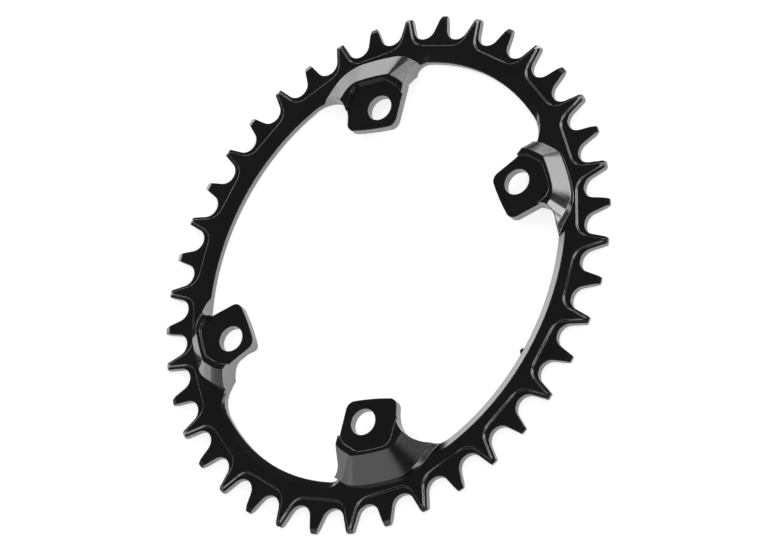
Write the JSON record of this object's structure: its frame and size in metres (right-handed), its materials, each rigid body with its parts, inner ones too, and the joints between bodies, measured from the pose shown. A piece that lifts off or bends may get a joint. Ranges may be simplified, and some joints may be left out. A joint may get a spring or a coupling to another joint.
{
  "type": "bicycle chainring",
  "caption": "Oval bicycle chainring with alternating narrow and wide teeth and raised, ramped bolt lugs around an open centre, machined from one black aluminium plate.",
  "frame": {"origin": "centre of the crank axis in the plane of the plate's back face, which lies on the ground", "axes": "+Z along the crank axis towards the side with the raised lugs, +X through the middle of the narrow gap between two bolts"},
  "size_m": [0.1782, 0.1634, 0.0096],
  "materials": {
    "anodised": "black anodised, satin, with bright machined edges"
  },
  "bodies": {
    "root": {"chainring": "anodised"}
  },
  "joints": []
}
